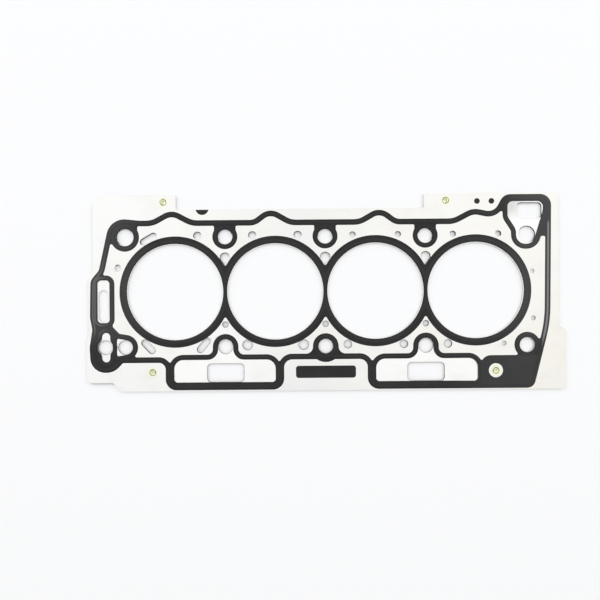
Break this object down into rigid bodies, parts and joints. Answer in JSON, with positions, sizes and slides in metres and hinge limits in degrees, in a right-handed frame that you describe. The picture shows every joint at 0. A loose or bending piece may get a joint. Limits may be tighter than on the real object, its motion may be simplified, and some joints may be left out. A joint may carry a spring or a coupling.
{
  "type": "cylinder head gasket",
  "caption": "Flat multi-layer steel head gasket for an in-line engine, with black rubber-coated sealing beads round the bores, bolt holes and passages.",
  "frame": {"origin": "middle of the bolt grid, on the surface that the gasket lies on", "axes": "+X along the cylinder row towards the end with the pear-shaped window, +Y towards the row of dowel holes, +Z out of the cylinder head side"},
  "size_m": [0.4203, 0.1723, 0.002],
  "materials": {
    "spring_steel": "bare stainless spring steel, fine rolled grain",
    "carrier_steel": "plain cold-rolled carrier steel",
    "seal_rubber": "satin printed fluoroelastomer coating",
    "mark_ink": "satin black printed marks",
    "plated_rivet": "yellow-green passivated zinc plating"
  },
  "bodies": {
    "root": {"top_bead_layer": "spring_steel", "carrier_layer": "carrier_steel", "stopper_foil": "carrier_steel", "bottom_bead_layer": "spring_steel", "top_bore_seal": "seal_rubber", "top_perimeter_seal": "seal_rubber", "bottom_bore_seal": "seal_rubber", "bottom_perimeter_seal": "seal_rubber", "label_panel": "mark_ink", "thickness_dot_1": "mark_ink", "thickness_dot_2": "mark_ink", "half_moon_mark": "mark_ink", "rivet_top_left": "plated_rivet", "rivet_top_right": "plated_rivet", "rivet_bottom_left": "plated_rivet", "rivet_bottom_right": "plated_rivet"}
  },
  "joints": []
}
